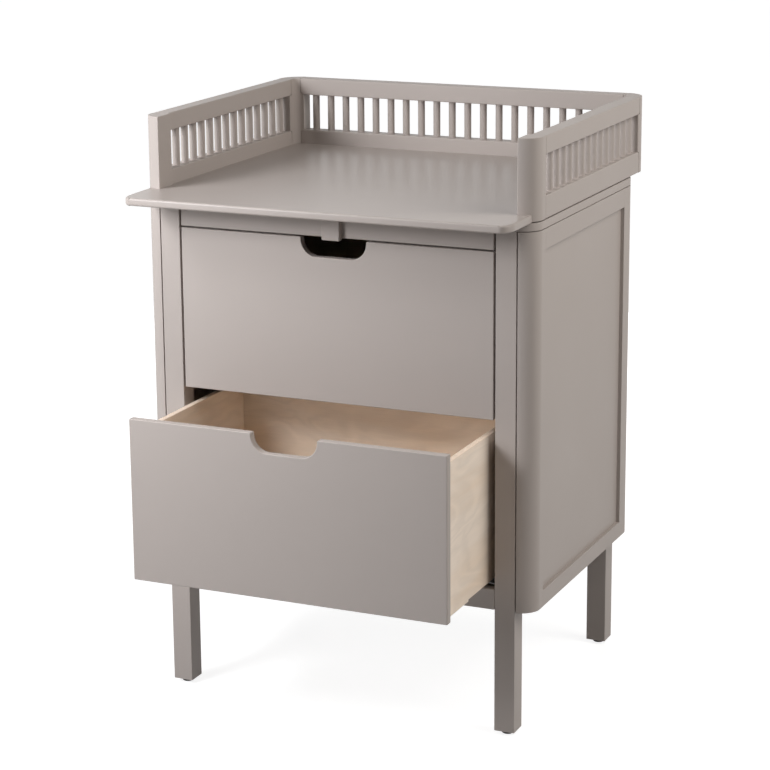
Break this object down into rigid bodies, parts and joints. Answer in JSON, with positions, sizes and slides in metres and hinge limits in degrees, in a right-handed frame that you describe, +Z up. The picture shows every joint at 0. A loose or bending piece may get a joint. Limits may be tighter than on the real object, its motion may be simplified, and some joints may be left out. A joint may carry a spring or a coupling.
{
  "type": "changing dresser",
  "caption": "Baby changing dresser: legged cabinet with drawers on concealed telescopic runners and a changing plate inside a low spindle gallery.",
  "frame": {"origin": "on the floor under the middle of the bounding box, with the lower drawer as open as in the picture", "axes": "+X to the right as seen from the front, +Y from the drawer fronts to the back, +Z up"},
  "size_m": [0.792, 0.848, 1.127],
  "materials": {
    "greige_lacquer": "satin warm grey lacquer on solid wood and board",
    "plate_lacquer": "satin warm grey lacquer on board",
    "back_panel_paint": "matt warm grey paint on thin board",
    "birch_plywood": "clear lacquered birch plywood",
    "runner_steel": "bright zinc plated steel sheet",
    "glides": "dark moulded plastic"
  },
  "bodies": {
    "cabinet": {"front_left_leg": "greige_lacquer", "front_right_leg": "greige_lacquer", "rear_left_leg": "greige_lacquer", "rear_right_leg": "greige_lacquer", "leg_glides": "glides", "dresser_top": "greige_lacquer", "front_top_rail": "greige_lacquer", "front_bottom_rail": "greige_lacquer", "rear_bottom_rail": "greige_lacquer", "bottom_panel": "back_panel_paint", "back_panel": "back_panel_paint", "changing_plate": "plate_lacquer", "plate_front_block": "greige_lacquer", "plate_rear_cleat": "greige_lacquer", "runner_screws": "runner_steel", "back_gallery_bottom_rail": "greige_lacquer", "back_gallery_top_rail": "greige_lacquer", "back_gallery_spindles": "greige_lacquer", "left_front_stile": "greige_lacquer", "left_rear_stile": "greige_lacquer", "left_side_top_rail": "greige_lacquer", "left_side_bottom_rail": "greige_lacquer", "left_side_panel": "greige_lacquer", "left_gallery_front_stile": "greige_lacquer", "left_gallery_bottom_rail": "greige_lacquer", "left_gallery_top_rail": "greige_lacquer", "left_gallery_spindles": "greige_lacquer", "left_gallery_corner_post": "greige_lacquer", "right_front_stile": "greige_lacquer", "right_rear_stile": "greige_lacquer", "right_side_top_rail": "greige_lacquer", "right_side_bottom_rail": "greige_lacquer", "right_side_panel": "greige_lacquer", "right_gallery_front_stile": "greige_lacquer", "right_gallery_bottom_rail": "greige_lacquer", "right_gallery_top_rail": "greige_lacquer", "right_gallery_spindles": "greige_lacquer", "right_gallery_corner_post": "greige_lacquer", "upper_left_fixed_rail": "runner_steel", "upper_right_fixed_rail": "runner_steel", "lower_left_fixed_rail": "runner_steel", "lower_right_fixed_rail": "runner_steel"},
    "upper_drawer": {"upper_drawer_front": "greige_lacquer", "upper_drawer_left_side": "birch_plywood", "upper_drawer_right_side": "birch_plywood", "upper_drawer_back": "birch_plywood", "upper_drawer_bottom": "birch_plywood", "upper_left_drawer_rail": "runner_steel", "upper_right_drawer_rail": "runner_steel"},
    "upper_middle_rails": {"upper_left_middle_rail": "runner_steel", "upper_right_middle_rail": "runner_steel"},
    "lower_drawer": {"lower_drawer_front": "greige_lacquer", "lower_drawer_left_side": "birch_plywood", "lower_drawer_right_side": "birch_plywood", "lower_drawer_back": "birch_plywood", "lower_drawer_bottom": "birch_plywood", "lower_left_drawer_rail": "runner_steel", "lower_right_drawer_rail": "runner_steel"},
    "lower_middle_rails": {"lower_left_middle_rail": "runner_steel", "lower_right_middle_rail": "runner_steel"}
  },
  "joints": [
    {"name": "upper_drawer_slide", "type": "slide", "parent": "cabinet", "child": "upper_drawer", "axis": [0, -1, 0], "range_m": [0, 0.4]},
    {"name": "upper_middle_rail_slide", "type": "slide", "parent": "cabinet", "child": "upper_middle_rails", "axis": [0, -1, 0], "range_m": [0, 0.2]},
    {"name": "lower_drawer_slide", "type": "slide", "parent": "cabinet", "child": "lower_drawer", "axis": [0, -1, 0], "range_m": [-0.218, 0.182]},
    {"name": "lower_middle_rail_slide", "type": "slide", "parent": "cabinet", "child": "lower_middle_rails", "axis": [0, -1, 0], "range_m": [-0.109, 0.091]}
  ],
  "couplings": [
    {"joint": "upper_middle_rail_slide", "follows": "upper_drawer_slide", "ratio": 0.5},
    {"joint": "lower_middle_rail_slide", "follows": "lower_drawer_slide", "ratio": 0.5}
  ]
}
